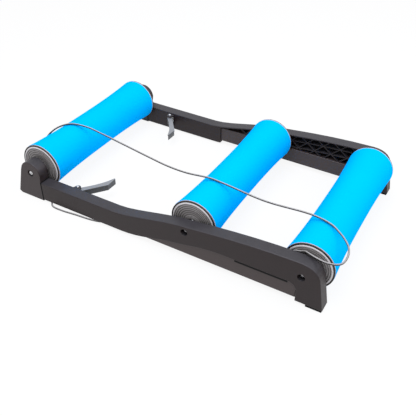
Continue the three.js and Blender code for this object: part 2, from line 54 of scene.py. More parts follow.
mergeDistance = {"turned": 0.0000001, "copy": 0.00001}  # closer points become one


print("camera")

cameraPlace = {
    "eye": (0.5864, -1.0412, 0.8807),
    "target": (0.079, -0.13157, 0.064),
    "lens": 50.36,
    "sensorWidth": 36.0,
    "roll": 0.84,  # degrees
}


def makeCamera(place):
    lens = bpy.data.cameras.new("camera")
    lens.lens = place["lens"]
    lens.sensor_width = place["sensorWidth"]
    camera = bpy.data.objects.new("camera", lens)
    scene.collection.objects.link(camera)
    camera.location = place["eye"]
    looking = Vector(place["target"]) - Vector(place["eye"])
    roll = Quaternion((0, 0, 1), math.radians(place["roll"]))
    camera.rotation_mode = "QUATERNION"
    camera.rotation_quaternion = looking.to_track_quat("-Z", "Y") @ roll
    scene.camera = camera


makeCamera(cameraPlace)


class Wire:
    # an output socket; arithmetic on wires adds Math nodes
    def __init__(self, graph, socket):
        self.graph = graph
        self.socket = socket

    def __add__(self, other):
        return self.graph.maths("ADD", self, other)

    def __radd__(self, other):
        return self.graph.maths("ADD", other, self)

    def __sub__(self, other):
        return self.graph.maths("SUBTRACT", self, other)

    def __rsub__(self, other):
        return self.graph.maths("SUBTRACT", other, self)

    def __mul__(self, other):
        return self.graph.maths("MULTIPLY", self, other)

    def __rmul__(self, other):
        return self.graph.maths("MULTIPLY", other, self)

    def __truediv__(self, other):
        return self.graph.maths("DIVIDE", self, other)

    def __rtruediv__(self, other):
        return self.graph.maths("DIVIDE", other, self)

    def __pow__(self, other):
        return self.graph.maths("POWER", self, other)

    def __rpow__(self, other):
        return self.graph.maths("POWER", other, self)

    def __abs__(self):
        return self.graph.maths("ABSOLUTE", self)


class Graph:
    def __init__(self, tree):
        self.tree = tree

    def add(self, kind, settings=None, inputs=None, output=0):
        # a node from its type, its settings and the values or wires of its sockets
        node = self.tree.nodes.new(kind)
        for name, value in (settings or {}).items():
            setattr(node, name, value)
        for key, value in (inputs or {}).items():
            self.feed(node.inputs[key], value)
        return Wire(self, node.outputs[output]) if node.outputs else node

    def feed(self, socket, value):
        if isinstance(value, Wire):
            self.tree.links.new(value.socket, socket)
        else:
            socket.default_value = value

    def maths(self, operation, *values):
        return self.add("ShaderNodeMath", {"operation": operation}, dict(enumerate(values)))

    def vectorMaths(self, operation, *values):
        settings = {"operation": operation}
        return self.add("ShaderNodeVectorMath", settings, dict(enumerate(values)))

    def mixColour(self, share, low, high):
        settings = {"data_type": "RGBA", "clamp_factor": True}
        return self.add("ShaderNodeMix", settings, {0: share, 6: low, 7: high}, 2)

    def between(self, value, low, high):
        # 0 at low, 1 at high, held beyond
        inputs = {"Value": value, "From Min": low, "From Max": high}
        return self.add("ShaderNodeMapRange", {"clamp": True}, inputs)


def newTree(name, sockets):
    # a tree with named inputs; gives the graph, the inputs as wires and their identifiers
    tree = bpy.data.node_groups.new(name, "GeometryNodeTree")
    tree.interface.new_socket("Geometry", in_out="INPUT", socket_type="NodeSocketGeometry")
    tree.interface.new_socket("Geometry", in_out="OUTPUT", socket_type="NodeSocketGeometry")
    identifiers = {}
    for label, kind in sockets.items():
        socket = tree.interface.new_socket(label, in_out="INPUT", socket_type="NodeSocket" + kind)
        identifiers[label] = socket.identifier
    graph = Graph(tree)
    entry = graph.add("NodeGroupInput").socket.node
    inputs = {socket.name: Wire(graph, socket) for socket in entry.outputs if socket.name}
    return graph, inputs, identifiers


def endTree(graph, geometry, material):
    whole = graph.add("GeometryNodeRealizeInstances", None, {"Geometry": geometry})
    painted = graph.add("GeometryNodeSetMaterial", None, {"Geometry": whole, "Material": material})
    graph.add("NodeGroupOutput", None, {0: painted})


def useTree(piece, tree, identifiers, values):
    modifier = piece.modifiers.new(tree.name, "NODES")
    modifier.node_group = tree
    for label, value in values.items():
        modifier[identifiers[label]] = value


def newPiece(name, mesh):
    piece = bpy.data.objects.new(name, mesh)
    scene.collection.objects.link(piece)
    return piece


def settle(piece):
    # what the modifiers give becomes the piece's own plain mesh
    bpy.context.view_layer.update()
    graph = bpy.context.evaluated_depsgraph_get()
    shaped = bpy.data.meshes.new_from_object(
        piece.evaluated_get(graph), preserve_all_data_layers=True, depsgraph=graph
    )
    unshaped = piece.data
    piece.modifiers.clear()
    piece.data = shaped
    shaped.name = piece.name
    bpy.data.meshes.remove(unshaped)


def finishPiece(piece, slotName, body, nodes):
    material = finishes[slotName]
    if not piece.data.materials:
        piece.data.materials.append(material)
    piece.data.materials[0] = material
    if nodes:
        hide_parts(*nodes)
    if body:
        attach(piece, body)


def roundEdges(piece, width, segments, byWeight=False):
    bevel = piece.modifiers.new("rounding", "BEVEL")
    bevel.width = width
    bevel.segments = segments
    bevel.limit_method = "WEIGHT" if byWeight else "ANGLE"
    bevel.angle_limit = math.radians(angles["rounded"])
    bevel.use_clamp_overlap = not byWeight
    bevel.miter_outer = "MITER_ARC"
    even = piece.modifiers.new("even normals", "WEIGHTED_NORMAL")
    even.keep_sharp = True
    even.weight = 60  # the flat faces keep their shading, the roundings give way


def softCorners(outline, radius, steps):
    # a closed outline of 2-D corners with each corner eased by a short curve
    eased = []
    longest = 0.45  # share of a side that one corner may take up
    count = len(outline)
    for i, here in enumerate(outline):
        if here[0] == 0:
            eased.append(Vector(here))  # on the axis
            continue
        before, after = Vector(outline[i - 1]), Vector(outline[(i + 1) % count])
        corner = Vector(here)
        toBefore, toAfter = before - corner, after - corner
        cut = min(radius, longest * toBefore.length, longest * toAfter.length)
        start = corner + toBefore.normalized() * cut
        end = corner + toAfter.normalized() * cut
        for k in range(steps + 1):
            t = k / steps
            eased.append(start * (1 - t) ** 2 + corner * 2 * t * (1 - t) + end * t * t)
    return eased


def turnedMesh(name, outline, segments, centre, sign):
    # a ring turned about Y; the outline holds radius and reach, reach runs outwards
    vertices = []
    for k in range(segments):
        angle = 2 * math.pi * k / segments
        for radius, reach in outline:
            vertices.append((
                centre[0] + radius * math.cos(angle),
                centre[1] + sign * reach,
                centre[2] + radius * math.sin(angle),
            ))
    count = len(outline)
    faces = []
    for k in range(segments):
        here, there = k * count, (k + 1) % segments * count
        for i in range(count):
            j = (i + 1) % count
            if outline[i][0] > 0 or outline[j][0] > 0:
                faces.append((here + i, here + j, there + j, there + i))
    mesh = bpy.data.meshes.new(name)
    mesh.from_pydata(vertices, [], faces)
    ring = mesh.attributes.new("ringRadius", "FLOAT", "POINT")
    ring.data.foreach_set("value", [radius for radius, reach in outline] * segments)
    shell = bmesh.new()
    shell.from_mesh(mesh)
    # closes the poles
    bmesh.ops.remove_doubles(shell, verts=shell.verts, dist=mergeDistance["turned"])
    bmesh.ops.recalc_face_normals(shell, faces=shell.faces)
    shell.to_mesh(mesh)
    shell.free()
    mesh.shade_smooth()
    mesh.set_sharp_from_angle(angle=math.radians(angles["turnedSharp"]))
    return mesh


def joinFlat(shell):
    bmesh.ops.dissolve_limit(
        shell, angle_limit=math.radians(angles["flat"]), verts=shell.verts, edges=shell.edges
    )


def cleanCopy(node, name):
    # the node's loose triangles as one merged shell with its flat faces whole
    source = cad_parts[node].data
    shell = bmesh.new()
    corners = [shell.verts.new(vertex.co) for vertex in source.vertices]
    for face in source.polygons:
        shell.faces.new([corners[i] for i in face.vertices])
    bmesh.ops.remove_doubles(shell, verts=shell.verts, dist=mergeDistance["copy"])
    joinFlat(shell)
    mesh = bpy.data.meshes.new(name)
    shell.to_mesh(mesh)
    shell.free()
    return newPiece(name, mesh)


def weighEdges(piece, rule):
    # the rule gives each convex edge a share of the rounding's width
    shell = bmesh.new()
    shell.from_mesh(piece.data)
    weight = shell.edges.layers.float.new("bevel_weight_edge")
    for edge in shell.edges:
        joins = len(edge.link_faces) == 2
        if joins and edge.calc_face_angle_signed() >= math.radians(angles["rounded"]):
            edge[weight] = rule(edge)
    shell.to_mesh(piece.data)
    shell.free()


def newMaterial(name, look):
    material = bpy.data.materials.new(name)
    material.use_nodes = True
    graph = Graph(material.node_tree)
    material.node_tree.nodes.clear()
    place = graph.add("ShaderNodeTexCoord", output="Object")
    surface = graph.add("ShaderNodeBsdfPrincipled", None, look(graph, place))
    graph.add("ShaderNodeOutputMaterial", None, {"Surface": surface})
    return material


def noise(graph, place, scale, detail=2.0, roughness=0.5, stretch=None):
    if stretch:
        place = graph.add("ShaderNodeMapping", None, {"Vector": place, "Scale": stretch})
    inputs = {"Vector": place, "Scale": scale, "Detail": detail, "Roughness": roughness}
    return graph.add("ShaderNodeTexNoise", None, inputs)


def bump(graph, height, distance, strength=1.0):
    return graph.add(
        "ShaderNodeBump", None, {"Height": height, "Distance": distance, "Strength": strength}
    )


def shades(colour, low, high):
    return (
        tuple(c * low for c in colour) + (1,),
        tuple(min(1, c * high) for c in colour) + (1,),
    )


def mottled(graph, share, sizes, name="colour", span="mottle"):
    # the named colour, darker and lighter by the span's two factors
    return graph.mixColour(share, *shades(sizes[name], *sizes[span]))


def mixed(one, other, share):
    return one * (1 - share) + other * share


def within(span, share):
    return span[0] + (span[1] - span[0]) * share


def facingUp(graph, sizes):
    # 0 where the surface faces up by upFrom or less, 1 from upTo on; painted light and shade follow
    # it
    facing = graph.add("ShaderNodeAttribute", {"attribute_name": "facingUp"}, None, "Fac")
    return graph.between(facing, sizes["upFrom"], sizes["upTo"])


def coordinate(graph, place, axis):
    return graph.add("ShaderNodeSeparateXYZ", None, {"Vector": place}, axis)


railPlastic = {
    "colour": (0.0182, 0.0116, 0.0122),
    "litBracketColour": (0.036, 0.0268, 0.0278),
    "bracketFrom": -0.322,  # X where the rail's colour starts to give way to the bracket's lighter one, painted light
    "bracketTo": -0.326,
    "litTopColour": (0.0315, 0.0295, 0.0342),  # painted light: the faces that look up are lighter and bluer, as if lit from above
    "upFrom": 0.3,
    "upTo": 0.9,
    "mottle": (0.86, 1.16),
    "mottleScale": 38.0,
    "blotch": (0.3, 0.7),
    "grainScale": 1500.0,
    "grainShare": 0.25,  # of the mottling; the rest is blotches
    "grainDepth": 0.00009,
    "roughness": (0.36, 0.52),
    "specular": 0.3,
}


def railLook(graph, place):
    sizes = railPlastic
    cloud = noise(graph, place, sizes["mottleScale"], detail=4, roughness=0.6)
    grain = noise(graph, place, sizes["grainScale"], detail=2, roughness=0.6)
    blotch = graph.between(cloud, *sizes["blotch"])
    patchy = mixed(blotch, grain, sizes["grainShare"])
    rail = mottled(graph, patchy, sizes)
    # painted light: the bracket is lighter, as more light falls on it at the front
    bracket = mottled(graph, patchy, sizes, "litBracketColour")
    # painted light: a lighter, bluer colour on the faces that look up
    top = mottled(graph, patchy, sizes, "litTopColour")
    along = coordinate(graph, place, "X")
    onBracket = graph.between(along, sizes["bracketFrom"], sizes["bracketTo"])
    side = graph.mixColour(onBracket, rail, bracket)
    return {
        "Base Color": graph.mixColour(facingUp(graph, sizes), side, top),
        "Roughness": within(sizes["roughness"], mixed(blotch, grain, 0.5)),
        "Normal": bump(graph, grain, sizes["grainDepth"], strength=0.6),
        "Specular IOR Level": sizes["specular"],
    }


armPlastic = {
    "colour": (0.0455, 0.0325, 0.032),
    "mottle": (0.88, 1.12),
    "cloudScale": 30.0,
    "drawnScale": 900.0,  # fine lines along the arm
    "drawnStretch": (0.02, 1.0, 1.0),
    "drawnDepth": 0.00006,
    "roughness": (0.34, 0.46),
    "specular": 0.38,
}


def armLook(graph, place):
    sizes = armPlastic
    drawn = noise(graph, place, sizes["drawnScale"], 3, 0.6, sizes["drawnStretch"])
    cloud = noise(graph, place, sizes["cloudScale"], detail=3)
    return {
        "Base Color": mottled(graph, mixed(cloud, drawn, 0.5), sizes),
        "Roughness": within(sizes["roughness"], drawn),
        "Normal": bump(graph, drawn, sizes["drawnDepth"], strength=0.5),
        "Specular IOR Level": sizes["specular"],
    }


drumPlastic = {
    "colour": (0.0, 0.425, 0.98),
    "mottle": (0.97, 1.02),
    "cloudScale": 9.0,
    "lineScale": 420.0,  # fine lines round the drum
    "lineStretch": (0.03, 1.0, 0.03),
    "lineDepth": 0.00002,
    "lineShare": 0.3,  # of the roughness; the rest is scuffs
    "scuffScale": 70.0,
    "scuffStretch": (0.25, 1.0, 0.25),
    "scuff": (0.45, 0.7),
    "roughness": (0.26, 0.4),
    "specular": 0.0,
}


def drumLook(graph, place):
    sizes = drumPlastic
    cloud = noise(graph, place, sizes["cloudScale"], detail=3)
    lines = noise(graph, place, sizes["lineScale"], 2, 0.5, sizes["lineStretch"])
    scuff = noise(graph, place, sizes["scuffScale"], 5, 0.65, sizes["scuffStretch"])
    worn = graph.between(scuff, *sizes["scuff"])
    return {
        "Base Color": mottled(graph, cloud, sizes),
        "Roughness": within(sizes["roughness"], mixed(worn, lines, sizes["lineShare"])),
        "Normal": bump(graph, lines, sizes["lineDepth"], strength=0.5),
        "Specular IOR Level": sizes["specular"],
    }


drum = {  # stands here because the caps' look needs its length
    "length": 0.4,
    "endRadius": 0.0559,
    "waistRadius": 0.05,
    "waistPower": 2.6,
    "wall": 0.003,
    "around": 144,
    "along": 48,
    "rounding": 0.0007,
    "segments": 3,  # of the rounding
}


capPlastic = {
    "colour": (0.19, 0.178, 0.176),
    "shoulder": (0.56, 0.54, 0.55),  # a painted highlight: the light band round the face, where its chamfer catches the light
    "lip": (0.016, 0.013, 0.012),  # painted shade: the dark ring outside it, on the lip's side that faces away from the light
    "rim": (0.4, 0.35, 0.33),  # a painted reflection: the light edge against the drum, where the drum's rounded end catches light
    "rimReach": 0.0024,
    "lipRadius": 0.0518,
    "shoulderRadius": 0.0486,
    "shoulderBlur": 0.0006,
    "edgeBlur": 0.0002,
    # the rings and turned lines in the face's colour are painted light and shade of its fine turned
    # steps
    "ringPitch": 0.0048,
    "ringShades": (0.3, 1.6),
    "shares": (0.75, 0.1, 0.15),  # of the rings, the turned lines and the clouds
    "cloudScale": 60.0,
    "turnedPitch": 0.0011,
    "turnedDepth": 0.00008,
    "roughness": (0.38, 0.55),
}


def capLook(graph, place):
    sizes = capPlastic
    radius = graph.add("ShaderNodeAttribute", {"attribute_name": "ringRadius"}, None, "Fac")

    def ripples(pitch):
        return graph.maths("SINE", radius * (2 * math.pi / pitch)) * 0.5 + 0.5

    def past(value, edge, blur):
        return graph.between(value, edge - blur, edge)

    rings, turnedLines = ripples(sizes["ringPitch"]), ripples(sizes["turnedPitch"])
    cloud = noise(graph, place, sizes["cloudScale"], detail=4)
    ringShare, lineShare, cloudShare = sizes["shares"]
    # painted light and shade: the rings and turned lines lighten and darken the face
    shade = rings * ringShare + turnedLines * lineShare + cloud * cloudShare
    face = mottled(graph, shade, sizes, span="ringShades")
    # a painted highlight on the shoulder, painted shade on the lip and a painted reflection at the
    # rim
    onShoulder = past(radius, sizes["shoulderRadius"], sizes["shoulderBlur"])
    onLip = past(radius, sizes["lipRadius"], sizes["edgeBlur"])
    reach = abs(coordinate(graph, place, "Y")) - drum["length"] / 2
    atDrum = 1 - past(reach, sizes["rimReach"], sizes["edgeBlur"])
    ringed = graph.mixColour(onShoulder, face, sizes["shoulder"] + (1,))
    lip = graph.mixColour(atDrum, sizes["lip"] + (1,), sizes["rim"] + (1,))
    return {
        "Base Color": graph.mixColour(onLip, ringed, lip),
        "Roughness": within(sizes["roughness"], cloud),
        "Normal": bump(graph, turnedLines, sizes["turnedDepth"], strength=0.5),
    }


steel = {
    "colour": (0.72, 0.72, 0.73),
    "mottle": (0.9, 1.08),
    "brushScale": 1400.0,
    "brushStretch": (1.0, 0.2, 1.0),
    "roughness": (0.2, 0.36),
    "brushDepth": 0.00002,
}


def steelLook(graph, place):
    sizes = steel
    brushed = noise(graph, place, sizes["brushScale"], 3, 0.6, sizes["brushStretch"])
    return {
        "Base Color": mottled(graph, brushed, sizes),
        "Metallic": 1.0,
        "Roughness": within(sizes["roughness"], brushed),
        "Normal": bump(graph, brushed, sizes["brushDepth"], strength=0.4),
    }


leverPlastic = {
    "colour": (0.215, 0.22, 0.228),
    "shadedSideShare": 0.29,  # painted shade: how dark the sides are against the lit top
    "topFrom": 0.0414,  # the height where the lit top's colour starts
    "topTo": 0.042,
    "mottle": (0.88, 1.1),
    "cloudScale": 90.0,
    "grainScale": 1300.0,
    "grainShare": 0.3,
    "grainDepth": 0.00006,
    "roughness": (0.3, 0.44),
}


def leverLook(graph, place):
    sizes = leverPlastic
    cloud = noise(graph, place, sizes["cloudScale"], detail=4)
    grain = noise(graph, place, sizes["grainScale"], detail=2)
    height = coordinate(graph, place, "Z")
    onTop = graph.between(height, sizes["topFrom"], sizes["topTo"])
    patchy = mixed(cloud, grain, sizes["grainShare"])
    # painted shade: the sides are the same plastic, darkened
    darker = (sizes["shadedSideShare"] * share for share in sizes["mottle"])
    side = graph.mixColour(patchy, *shades(sizes["colour"], *darker))
    return {
        "Base Color": graph.mixColour(onTop, side, mottled(graph, patchy, sizes)),
        "Roughness": within(sizes["roughness"], grain),
        "Normal": bump(graph, grain, sizes["grainDepth"], strength=0.6),
    }


beltRubber = {
    "colour": (0.29, 0.28, 0.28),
    "underside": (0.012, 0.0115, 0.011),
    "upFrom": 0.5,  # painted shade: the skin that faces up less is dark, as if in shade
    "upTo": 0.82,
    "mottle": (0.85, 1.15),
    "cloudScale": 120.0,
    "roughness": (0.18, 0.28),
    "skinScale": 900.0,
    "skinDepth": 0.00004,
    "specular": 0.4,
}


def beltLook(graph, place):
    sizes = beltRubber
    cloud = noise(graph, place, sizes["cloudScale"], detail=4)
    skin = noise(graph, place, sizes["skinScale"], detail=2)
    # painted light and shade: a lit colour on top, a shaded one underneath
    top = mottled(graph, cloud, sizes)
    return {
        "Base Color": graph.mixColour(facingUp(graph, sizes), sizes["underside"] + (1,), top),
        "Roughness": within(sizes["roughness"], cloud),
        "Normal": bump(graph, skin, sizes["skinDepth"], strength=0.5),
        "Specular IOR Level": sizes["specular"],
    }


footRubber = {
    "colour": (0.007, 0.007, 0.007),
    "mottle": (0.8, 1.3),
    "cloudScale": 80.0,
    "grainScale": 1100.0,
    "grainDepth": 0.00014,
    "roughness": (0.62, 0.85),
    "specular": 0.12,
}


def footLook(graph, place):
    sizes = footRubber
    grain = noise(graph, place, sizes["grainScale"], detail=3, roughness=0.6)
    cloud = noise(graph, place, sizes["cloudScale"], detail=3)
    return {
        "Base Color": mottled(graph, cloud, sizes),
        "Roughness": within(sizes["roughness"], grain),
        "Normal": bump(graph, grain, sizes["grainDepth"], strength=0.8),
        "Specular IOR Level": sizes["specular"],
    }


glidePlastic = {
    "colour": (0.68, 0.66, 0.6),
    "mottle": (0.92, 1.05),
    "cloudScale": 110.0,
    "roughness": (0.32, 0.45),
    "skinScale": 700.0,
    "skinDepth": 0.00005,
}


def glideLook(graph, place):
    sizes = glidePlastic
    cloud = noise(graph, place, sizes["cloudScale"], detail=3)
    skin = noise(graph, place, sizes["skinScale"], detail=2)
    return {
        "Base Color": mottled(graph, cloud, sizes),
        "Roughness": within(sizes["roughness"], skin),
        "Normal": bump(graph, skin, sizes["skinDepth"], strength=0.5),
    }


print("materials")

finishes = {
    "rail_plastic": newMaterial("railPlastic", railLook),
    "arm_plastic": newMaterial("armPlastic", armLook),
    "drum_plastic": newMaterial("drumPlastic", drumLook),
    "cap_plastic": newMaterial("capPlastic", capLook),
    "steel": newMaterial("steel", steelLook),
    "lever_plastic": newMaterial("leverPlastic", leverLook),
    "belt_rubber": newMaterial("beltRubber", beltLook),
    "foot_rubber": newMaterial("footRubber", footLook),
    "glide_plastic": newMaterial("glidePlastic", glideLook),
}


print("drive belt")

belt = {
    "diameter": 0.0042,
    "length": 1.911,
    "stepsPerSpan": 12,
    "sides": 18,
    "staysFrom": -0.01,  # X from which the belt stays when the front is pulled out
    "goesFrom": -0.27,  # X before which it goes along
    "route": [
        (-0.3605, -0.08, 0.1274), (-0.3155, -0.0702, 0.1282), (-0.2565, -0.077, 0.128),
        (-0.1748, -0.0907, 0.1277), (-0.0975, -0.1026, 0.1261), (-0.0392, -0.1128, 0.1272),
        (0.012, -0.1155, 0.1284), (0.0685, -0.1078, 0.1292), (0.1068, -0.1103, 0.1292),
        (0.2105, -0.117, 0.1254), (0.319, -0.1141, 0.129), (0.3633, -0.1247, 0.1293),
        (0.3815, -0.135, 0.1269), (0.3992, -0.1486, 0.1246), (0.413, -0.1633, 0.1206),
        (0.4196, -0.184, 0.1166), (0.4152, -0.2089, 0.1137), (0.3935, -0.2182, 0.1126),
        (0.3655, -0.2165, 0.1138), (0.3507, -0.2132, 0.1149), (0.341, -0.2094, 0.1133),
        (0.3345, -0.2088, 0.1095), (0.3185, -0.2088, 0.1037), (0.3035, -0.2088, 0.083),
        (0.2935, -0.2085, 0.059), (0.2775, -0.2055, 0.0345), (0.24, -0.197, 0.007),
        (0.15, -0.1865, 0.0029), (-0.0615, -0.202, 0.0024), (-0.1629, -0.2405, 0.0024),
        (-0.2219, -0.2472, 0.0024), (-0.262, -0.2512, 0.0024), (-0.29, -0.249, 0.0024),
        (-0.304, -0.235, 0.0024), (-0.3155, -0.215, 0.0024), (-0.35, -0.186, 0.004),
        (-0.3805, -0.168, 0.02), (-0.403, -0.152, 0.047), (-0.4075, -0.129, 0.086),
        (-0.3895, -0.104, 0.115),
    ],
}


def smoothLoop(route, steps):
    # a closed centripetal curve through the route's points
    points = [Vector(p) for p in route]
    count = len(points)
    line = []
    for i in range(count):
        p0, p1, p2, p3 = (points[(i + k) % count] for k in (-1, 0, 1, 2))
        d0, d1, d2 = ((b - a).length ** 0.5 for a, b in ((p0, p1), (p1, p2), (p2, p3)))
        m1 = ((p1 - p0) / d0 - (p2 - p0) / (d0 + d1) + (p2 - p1) / d1) * d1
        m2 = ((p2 - p1) / d1 - (p3 - p1) / (d1 + d2) + (p3 - p2) / d2) * d1
        for k in range(steps):
            t = k / steps
            line.append(
                p1 * (2 * t ** 3 - 3 * t ** 2 + 1) + m1 * (t ** 3 - 2 * t ** 2 + t)
                + p2 * (3 * t ** 2 - 2 * t ** 3) + m2 * (t ** 3 - t ** 2)
            )
    return line


def roundCordTree():
    graph, given, identifiers = newTree("round cord", {
        "Radius": "Float", "Sides": "Int", "Steps": "Int", "Material": "Material",
    })
    path = graph.add("GeometryNodeMeshToCurve", None, {"Mesh": given["Geometry"]})
    even = graph.add("GeometryNodeResampleCurve", None, {"Curve": path, "Count": given["Steps"]})
    ring = graph.add(
        "GeometryNodeCurvePrimitiveCircle", None,
        {"Resolution": given["Sides"], "Radius": given["Radius"]},
    )
    tube = graph.add(
        "GeometryNodeCurveToMesh", None, {"Curve": even, "Profile Curve": ring}
    )
    smooth = graph.add("GeometryNodeSetShadeSmooth", None, {"Geometry": tube})
    # the normal's Z, which the belt's look reads for its painted shade underneath
    normal = graph.add("GeometryNodeInputNormal")
    facing = graph.add("ShaderNodeSeparateXYZ", None, {"Vector": normal}, "Z")
    marked = graph.add(
        "GeometryNodeStoreNamedAttribute", {"data_type": "FLOAT", "domain": "POINT"},
        {"Geometry": smooth, "Name": "facingUp", "Value": facing},
    )
    endTree(graph, marked, given["Material"])
    return graph.tree, identifiers


def makeBelt():
    line = smoothLoop(belt["route"], belt["stepsPerSpan"])
    mesh = bpy.data.meshes.new("driveBelt")
    edges = [(i, (i + 1) % len(line)) for i in range(len(line))]
    mesh.from_pydata(line, edges, [])
    piece = newPiece("driveBelt", mesh)
    tree, identifiers = roundCordTree()
    useTree(piece, tree, identifiers, {
        "Radius": belt["diameter"] / 2,
        "Sides": belt["sides"],
        "Steps": len(line),
        "Material": finishes["belt_rubber"],
    })
    settle(piece)
    finishPiece(piece, "belt_rubber", None, ["drive_belt"])
    [tuple(p) for p in line + line[:1]]
    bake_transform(piece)


makeBelt()


print("drums")

axleHeight = 0.074
axlePlaces = {"front": -0.3515, "middle": 0.083, "rear": 0.3515}


def waistedTubeTree():
    graph, given, identifiers = newTree("waisted tube", {
        "Length": "Float", "End Radius": "Float", "Waist Radius": "Float",
        "Waist Power": "Float", "Around": "Int", "Along": "Int",
        "Centre": "Vector", "Material": "Material",
    })
    tube = graph.add("GeometryNodeMeshCylinder", {"fill_type": "NONE"}, {
        "Vertices": given["Around"], "Side Segments": given["Along"],
        "Radius": 1.0, "Depth": given["Length"],
    })
    place = graph.add("GeometryNodeInputPosition")
    split = graph.add("ShaderNodeSeparateXYZ", None, {"Vector": place})
    x, y, z = (Wire(graph, socket) for socket in split.socket.node.outputs)
    share = abs(z / (given["Length"] * 0.5))
    waist = given["Waist Radius"]
    radius = waist + (given["End Radius"] - waist) * share ** given["Waist Power"]
    # the tube is laid over so that its axis runs along Y
    turned = graph.add("ShaderNodeCombineXYZ", None, {"X": x * radius, "Y": z, "Z": 0 - y * radius})
    moved = graph.vectorMaths("ADD", turned, given["Centre"])
    shaped = graph.add("GeometryNodeSetPosition", None, {"Geometry": tube, "Position": moved})
    smooth = graph.add("GeometryNodeSetShadeSmooth", None, {"Geometry": shaped})
    endTree(graph, smooth, given["Material"])
    return graph.tree, identifiers


def makeDrums():
    tree, identifiers = waistedTubeTree()
    for name, x in axlePlaces.items():
        piece = newPiece(f"{name}Drum", bpy.data.meshes.new(f"{name}Drum"))
        useTree(piece, tree, identifiers, {
            "Length": drum["length"],
            "End Radius": drum["endRadius"],
            "Waist Radius": drum["waistRadius"],
            "Waist Power": drum["waistPower"],
            "Around": drum["around"],
            "Along": drum["along"],
            "Centre": (x, 0.0, axleHeight),
            "Material": finishes["drum_plastic"],
        })
        wall = piece.modifiers.new("wall", "SOLIDIFY")
        wall.thickness = drum["wall"]
        wall.offset = -1
        roundEdges(piece, drum["rounding"], drum["segments"])
        settle(piece)
        finishPiece(piece, "drum_plastic", f"{name}_roller", [f"{name}_drum"])


makeDrums()


print("caps and axles")

cap = {
    "insertRadius": 0.0517,
    "insertWall": 0.003,
    "insertDepth": 0.012,
    "web": 0.003,
    "lipFrom": 0.0003,
    "lipTo": 0.0041,
    "lipRadius": 0.0555,
    "lipWidth": 0.0037,
    "faceRadius": 0.0505,
    "faceReach": 0.0054,
    "stepRadius": 0.034,
    "stepReach": 0.006,
    "stepSlope": 0.0008,
    "stepFall": 0.0006,  # how deep the gutter between step and hub is
    "hubRadius": 0.018,
    "hubSlope": 0.003,
    "hubFoot": 0.0064,
    "hubReach": 0.0093,
    "seatRadius": 0.0134,
    "seatFrom": 0.0015,
    "throatRadius": 0.009,
    "rings": (0.0468, 0.042, 0.0372),  # fine grooves in the face
    "grooveWidth": 0.0016,
    "grooveFloor": 0.5,  # share of the width
    "grooveDepth": 0.0009,
    "segments": 96,
    "easing": 0.0004,  # how far the turned corners are eased
}


def capOutline():
    face = []
    slope = (cap["stepReach"] - cap["faceReach"]) / (cap["faceRadius"] - cap["stepRadius"])
    half, depth = cap["grooveWidth"] / 2, cap["grooveDepth"]
    floor = half * cap["grooveFloor"]
    for radius in cap["rings"]:
        reach = cap["faceReach"] + slope * (cap["faceRadius"] - radius)
        face += [
            (radius + half, reach), (radius + floor, reach - depth),
            (radius - floor, reach - depth), (radius - half, reach),
        ]
    bowl = cap["insertRadius"] - cap["insertWall"]
    return [
        (cap["throatRadius"], -cap["web"]),
        (bowl, -cap["web"]),
        (bowl, -cap["insertDepth"]),
        (cap["insertRadius"], -cap["insertDepth"]),
        (cap["insertRadius"], cap["lipFrom"]),
        (cap["lipRadius"], cap["lipFrom"]),
        (cap["lipRadius"], cap["lipTo"]),
        (cap["lipRadius"] - cap["lipWidth"], cap["lipTo"]),
        (cap["faceRadius"], cap["faceReach"]),
        *face,
        (cap["stepRadius"], cap["stepReach"]),
        (cap["stepRadius"] - cap["stepSlope"], cap["stepReach"] - cap["stepFall"]),
        (cap["hubRadius"] + cap["hubSlope"], cap["hubFoot"] - cap["stepFall"]),
        (cap["hubRadius"], cap["hubFoot"]),
        (cap["hubRadius"], cap["hubReach"]),
        (cap["seatRadius"], cap["hubReach"]),
        (cap["seatRadius"], cap["seatFrom"]),
        (cap["throatRadius"], cap["seatFrom"]),
    ]


bearing = {
    "bore": 0.0055,
    "innerRace": 0.0078,
    "outerRace": 0.0112,
    "radius": 0.013,
    "from": 0.0018,
    "to": 0.0088,
    "shieldDepth": 0.0005,
    "segments": 64,
    "easing": 0.0003,
}


def bearingOutline():
    sizes = bearing
    low, high, sunk = sizes["from"], sizes["to"], sizes["shieldDepth"]
    return [
        (sizes["bore"], low), (sizes["innerRace"], low),
        (sizes["innerRace"], low + sunk), (sizes["outerRace"], low + sunk),
        (sizes["outerRace"], low), (sizes["radius"], low),
        (sizes["radius"], high), (sizes["outerRace"], high),
        (sizes["outerRace"], high - sunk), (sizes["innerRace"], high - sunk),
        (sizes["innerRace"], high), (sizes["bore"], high),
    ]


spacer = {
    "bore": 0.0055,
    "radius": 0.0075,
    "from": 0.0091,
    "to": 0.0127,
    "segments": 48,
    "easing": 0.0004,
}


def spacerOutline():
    bore, radius, low, high = (spacer[name] for name in ("bore", "radius", "from", "to"))
    return [(bore, low), (radius, low), (radius, high), (bore, high)]


axle = {
    "radius": 0.005,
    "halfLength": 0.2262,
    "bore": 0.00325,
    "boreDepth": 0.016,
    "segments": 36,
    "easing": 0.0004,
}


def axleOutline():
    # a rod with a blind bore at each end
    bore, radius, half = (axle[name] for name in ("bore", "radius", "halfLength"))
    tip = half - axle["boreDepth"]
    return [
        (0, -tip), (bore, -tip), (bore, -half), (radius, -half),
        (radius, half), (bore, half), (bore, tip), (0, tip),
    ]


def turnedPiece(label, outline, sizes, centre, sign):
    eased = softCorners(outline, sizes["easing"], steps=2)
    return newPiece(label, turnedMesh(label, eased, sizes["segments"], centre, sign))


